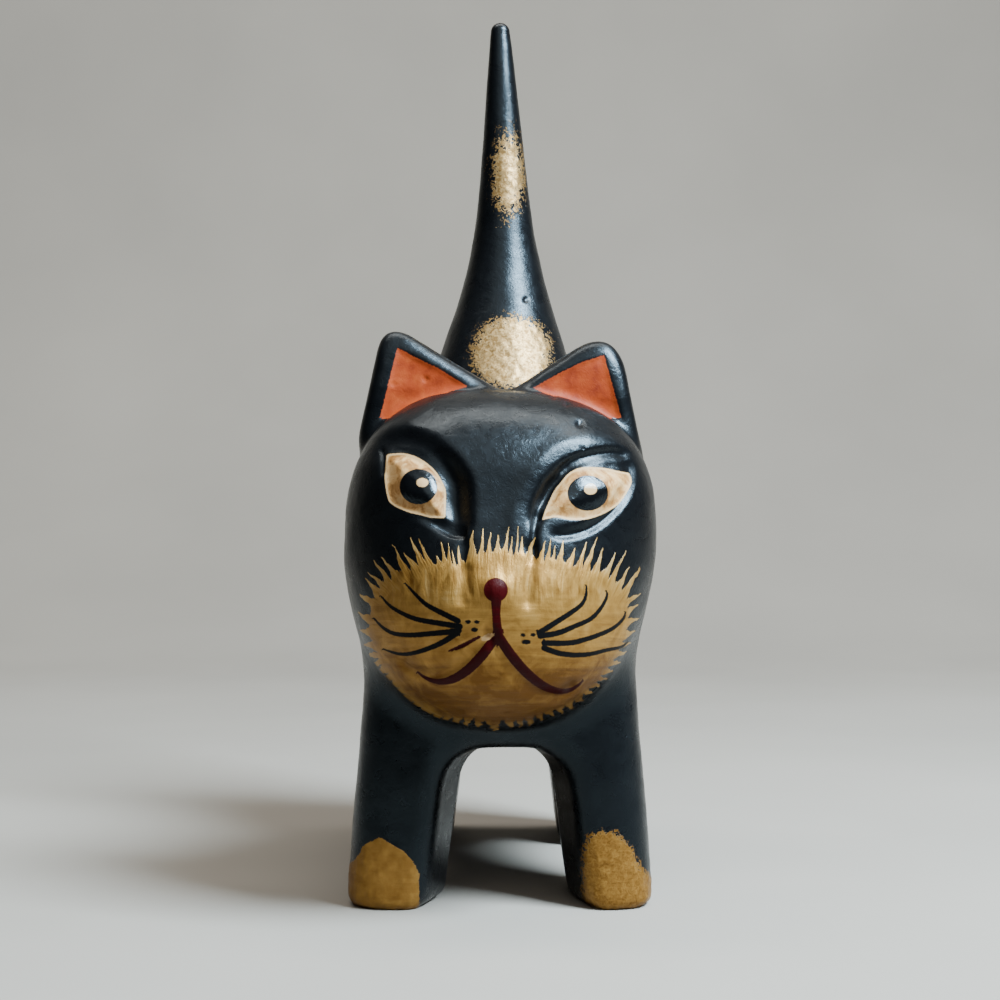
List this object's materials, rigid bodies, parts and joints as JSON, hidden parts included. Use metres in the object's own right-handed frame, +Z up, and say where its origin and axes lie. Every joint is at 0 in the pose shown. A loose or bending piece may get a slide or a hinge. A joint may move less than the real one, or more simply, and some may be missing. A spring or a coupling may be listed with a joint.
{
  "type": "wooden cat figurine",
  "caption": "Carved and painted wooden cat standing on short legs, with a broad rounded face, pointed ears and a tall tapering tail held straight up.",
  "frame": {"origin": "on the ground under the middle of the cat's bounding box", "axes": "+Z up along the tail, -Y the way the cat faces, +X to the right of someone who looks it in the face"},
  "size_m": [0.0716, 0.1414, 0.2244],
  "materials": {
    "painted_wood": "satin black brushed paint, with dull gold muzzle, toes and tail spots, brick red ears and cream eyes"
  },
  "bodies": {
    "root": {"cat": "painted_wood"}
  },
  "joints": []
}
